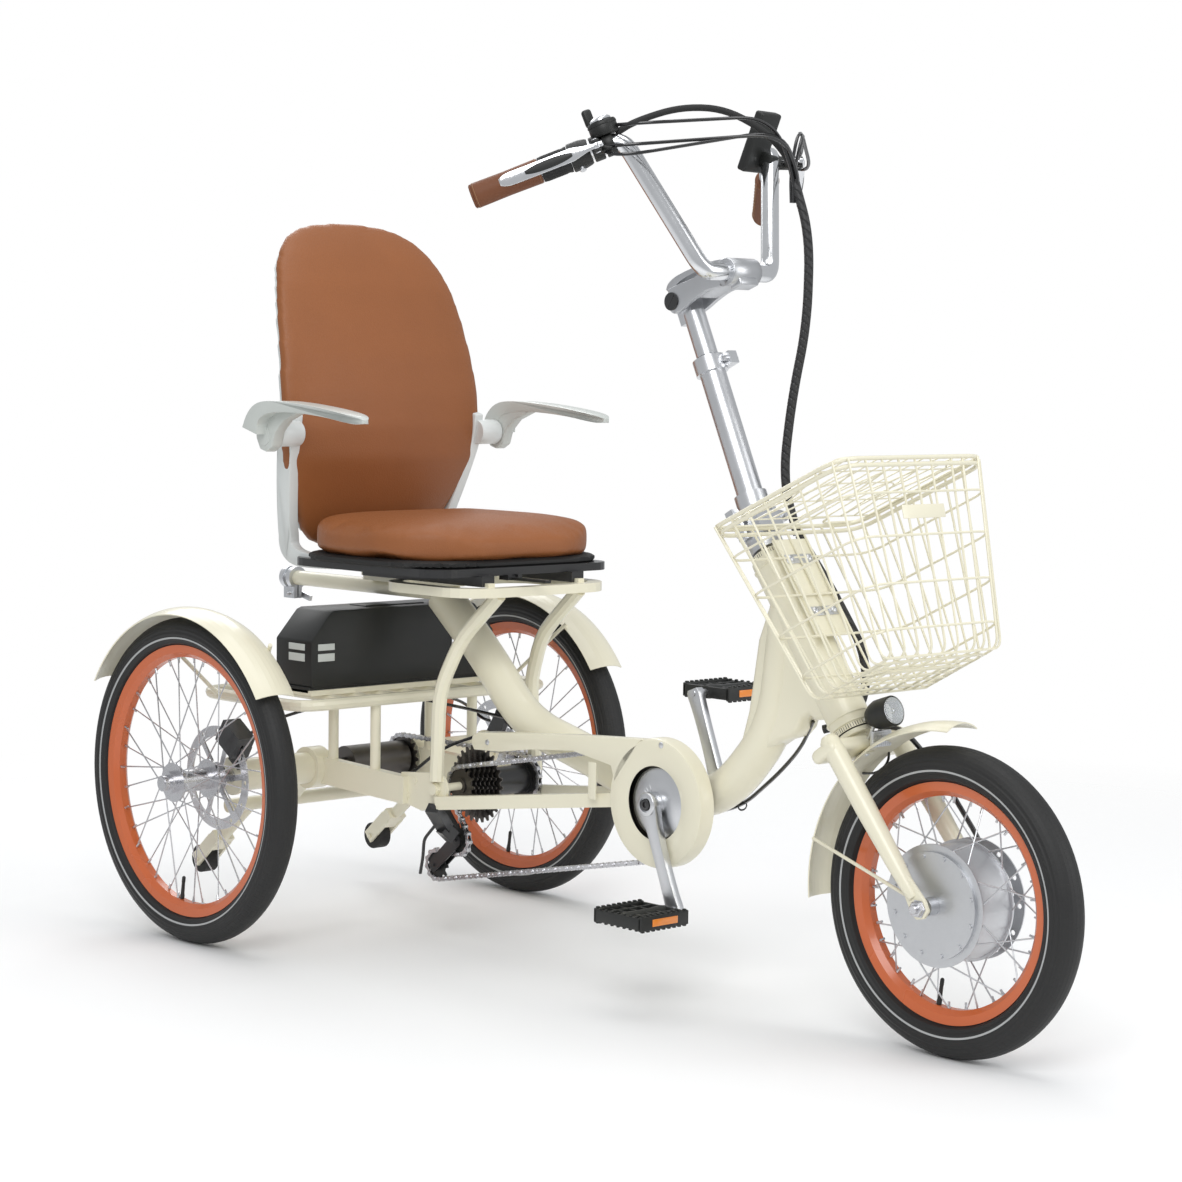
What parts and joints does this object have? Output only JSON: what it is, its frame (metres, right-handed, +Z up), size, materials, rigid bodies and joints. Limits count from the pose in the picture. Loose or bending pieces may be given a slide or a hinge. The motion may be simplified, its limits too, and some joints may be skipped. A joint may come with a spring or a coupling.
{
  "type": "adult tricycle",
  "caption": "Adult tricycle with a padded seat with back and armrests, folding handlebar post, motor front wheel, rear rack battery and front wire basket.",
  "frame": {"origin": "on the ground under the middle of the footprint", "axes": "+X forward, towards the front wheel; +Y to the rider's left; +Z up"},
  "size_m": [1.675, 0.784, 1.2424],
  "materials": {
    "black_paint": "satin",
    "black_plastic": "matte",
    "black_rubber": "matte",
    "brown_leather": "satin",
    "cream_paint": "gloss powder coat",
    "dark_metal": "satin",
    "grey_plastic": "satin",
    "orange_paint": "gloss",
    "polished_metal": "polished",
    "silver_metal": "satin",
    "tan_leather": "satin",
    "tyre_rubber": "matte"
  },
  "bodies": {
    "frame": {"head_tube": "cream_paint", "main_tube": "cream_paint", "rear_subframe": "cream_paint", "axle_housing": "cream_paint", "rack_frame": "cream_paint", "antitip_bar": "cream_paint", "seat_platform": "cream_paint", "socket_clamp": "silver_metal", "rear_fenders": "cream_paint", "chain_guard": "cream_paint", "basket": "cream_paint", "chains": "dark_metal", "derailleur": "black_paint", "rear_calipers": "black_paint", "cable_loom": "black_rubber"},
    "steerer": {"fork": "cream_paint", "front_fender": "cream_paint", "headlight": "black_plastic", "hinge_base": "silver_metal"},
    "post": {"handlebar_post": "silver_metal"},
    "fold_latch": {"fold_latch": "silver_metal"},
    "riser": {"bar_riser": "silver_metal"},
    "bar": {"bar_stem": "silver_metal", "handlebar": "polished_metal", "grips": "brown_leather", "bar_controls": "black_plastic", "control_cables": "black_rubber"},
    "stem_lock_lever": {"stem_lock_lever": "silver_metal"},
    "brake_lever_right": {"brake_lever_right": "silver_metal"},
    "brake_lever_left": {"brake_lever_left": "silver_metal"},
    "shifter_lever": {"shifter_lever": "silver_metal"},
    "throttle": {"throttle_sleeve": "black_rubber"},
    "front_wheel": {"front_tyre": "tyre_rubber", "front_rim": "orange_paint", "front_hub": "silver_metal"},
    "rear_right_wheel": {"rear_right_tyre": "tyre_rubber", "rear_right_rim": "orange_paint", "rear_right_hub": "silver_metal"},
    "rear_left_wheel": {"rear_left_tyre": "tyre_rubber", "rear_left_rim": "orange_paint", "rear_left_hub": "silver_metal", "drive_axle": "dark_metal"},
    "crank": {"crank_set": "dark_metal"},
    "pedal_right": {"pedal_right": "black_plastic"},
    "pedal_left": {"pedal_left": "black_plastic"},
    "cassette": {"cassette": "dark_metal"},
    "jackshaft_hub": {"jackshaft_hub": "black_paint"},
    "guide_pulley": {"guide_pulley": "black_plastic"},
    "tension_pulley": {"tension_pulley": "black_plastic"},
    "roller_right": {"roller_right": "black_rubber"},
    "roller_left": {"roller_left": "black_rubber"},
    "seat": {"seat_pan": "black_paint", "seat_cushion": "tan_leather", "back_shell": "grey_plastic", "back_cushion": "tan_leather"},
    "seat_release": {"seat_release": "black_plastic"},
    "armrest_right": {"armrest_right": "grey_plastic"},
    "armrest_left": {"armrest_left": "grey_plastic"},
    "basket_lid": {"basket_lid": "cream_paint"},
    "battery": {"battery": "black_plastic"}
  },
  "joints": [
    {"name": "steering", "type": "hinge", "parent": "frame", "child": "steerer", "pos_m": [0.4595, 0, 0.406], "axis": [-0.5736, 0, 0.8192], "range_deg": [-40, 40], "deforming": ["control_cables"]},
    {"name": "post_fold", "type": "hinge", "parent": "steerer", "child": "post", "pos_m": [0.2755, 0.031, 0.678], "axis": [-0.866, 0, -0.5], "range_deg": [0, 80]},
    {"name": "fold_latch_swing", "type": "hinge", "parent": "steerer", "child": "fold_latch", "pos_m": [0.27471, -0.031, 0.66138], "axis": [0, 1, 0], "range_deg": [0, 60]},
    {"name": "post_height", "type": "slide", "parent": "post", "child": "riser", "axis": [-0.4179, 0, 0.9085], "range_m": [0, 0.08]},
    {"name": "stem_tilt", "type": "hinge", "parent": "riser", "child": "bar", "pos_m": [0.1255, 0, 0.981], "axis": [0, -1, 0], "range_deg": [-20, 50]},
    {"name": "stem_lock", "type": "hinge", "parent": "bar", "child": "stem_lock_lever", "pos_m": [0.11058, 0, 1.00312], "axis": [0, -1, 0], "range_deg": [0, 70]},
    {"name": "brake_squeeze_right", "type": "hinge", "parent": "bar", "child": "brake_lever_right", "pos_m": [0.15246, -0.20092, 1.18461], "axis": [0.2635, 0.2598, -0.929], "range_deg": [0, 8.5], "stiffness_Nm_per_rad": 1.5},
    {"name": "brake_squeeze_left", "type": "hinge", "parent": "bar", "child": "brake_lever_left", "pos_m": [0.15246, 0.20092, 1.18461], "axis": [-0.2635, 0.2598, 0.929], "range_deg": [0, 8.5], "stiffness_Nm_per_rad": 1.5},
    {"name": "shift", "type": "hinge", "parent": "bar", "child": "shifter_lever", "pos_m": [0.12386, -0.16734, 1.22249], "axis": [0.2635, 0.2598, -0.929], "range_deg": [-30, 30]},
    {"name": "throttle_twist", "type": "hinge", "parent": "bar", "child": "throttle", "pos_m": [0.08056, -0.21003, 1.16167], "axis": [-0.6615, -0.6523, -0.3701], "range_deg": [0, 70], "stiffness_Nm_per_rad": 0.4},
    {"name": "front_wheel_spin", "type": "hinge", "parent": "steerer", "child": "front_wheel", "pos_m": [0.6335, 0, 0.204], "axis": [0, 1, 0], "continuous": true},
    {"name": "rear_right_wheel_spin", "type": "hinge", "parent": "frame", "child": "rear_right_wheel", "pos_m": [-0.5875, -0.335, 0.25], "axis": [0, 1, 0], "continuous": true},
    {"name": "rear_left_wheel_spin", "type": "hinge", "parent": "frame", "child": "rear_left_wheel", "pos_m": [-0.5875, 0.335, 0.25], "axis": [0, 1, 0], "continuous": true},
    {"name": "crank_spin", "type": "hinge", "parent": "frame", "child": "crank", "pos_m": [0.1425, 0, 0.278], "axis": [0, 1, 0], "continuous": true},
    {"name": "pedal_right_spin", "type": "hinge", "parent": "crank", "child": "pedal_right", "pos_m": [0.19697, -0.138, 0.1361], "axis": [0, 1, 0], "continuous": true},
    {"name": "pedal_left_spin", "type": "hinge", "parent": "crank", "child": "pedal_left", "pos_m": [0.08803, 0.138, 0.4199], "axis": [0, 1, 0], "continuous": true},
    {"name": "cassette_spin", "type": "hinge", "parent": "frame", "child": "cassette", "pos_m": [-0.2925, -0.03, 0.25], "axis": [0, 1, 0], "continuous": true},
    {"name": "jackshaft_spin", "type": "hinge", "parent": "frame", "child": "jackshaft_hub", "pos_m": [-0.2925, 0.035, 0.25], "axis": [0, 1, 0], "continuous": true},
    {"name": "guide_pulley_spin", "type": "hinge", "parent": "frame", "child": "guide_pulley", "pos_m": [-0.2955, -0.047, 0.166], "axis": [0, 1, 0], "continuous": true},
    {"name": "tension_pulley_spin", "type": "hinge", "parent": "frame", "child": "tension_pulley", "pos_m": [-0.3465, -0.047, 0.121], "axis": [0, 1, 0], "continuous": true},
    {"name": "roller_right_spin", "type": "hinge", "parent": "frame", "child": "roller_right", "pos_m": [-0.7735, -0.178, 0.087], "axis": [0, 1, 0], "continuous": true},
    {"name": "roller_left_spin", "type": "hinge", "parent": "frame", "child": "roller_left", "pos_m": [-0.7735, 0.178, 0.087], "axis": [0, 1, 0], "continuous": true},
    {"name": "seat_slide", "type": "slide", "parent": "frame", "child": "seat", "axis": [1, 0, 0], "range_m": [-0.05, 0.04]},
    {"name": "seat_release_lift", "type": "hinge", "parent": "seat", "child": "seat_release", "pos_m": [-0.1995, -0.032, 0.573], "axis": [0, -1, 0], "range_deg": [0, 10], "stiffness_Nm_per_rad": 0.5},
    {"name": "armrest_right_lift", "type": "hinge", "parent": "seat", "child": "armrest_right", "pos_m": [-0.5305, -0.233, 0.78], "axis": [0, -1, 0], "range_deg": [0, 90]},
    {"name": "armrest_left_lift", "type": "hinge", "parent": "seat", "child": "armrest_left", "pos_m": [-0.5305, 0.233, 0.78], "axis": [0, -1, 0], "range_deg": [0, 90]},
    {"name": "basket_lid_lift", "type": "hinge", "parent": "frame", "child": "basket_lid", "pos_m": [0.31716, 0, 0.67379], "axis": [0, -1, 0], "range_deg": [0, 60]},
    {"name": "battery_slide", "type": "slide", "parent": "frame", "child": "battery", "axis": [-1, 0, 0], "range_m": [0, 0.12]}
  ],
  "couplings": [
    {"joint": "cassette_spin", "follows": "crank_spin", "ratio": 2.8571},
    {"joint": "guide_pulley_spin", "follows": "crank_spin", "ratio": -3.6364},
    {"joint": "tension_pulley_spin", "follows": "crank_spin", "ratio": 3.6364},
    {"joint": "jackshaft_spin", "follows": "rear_left_wheel_spin", "ratio": 1}
  ]
}
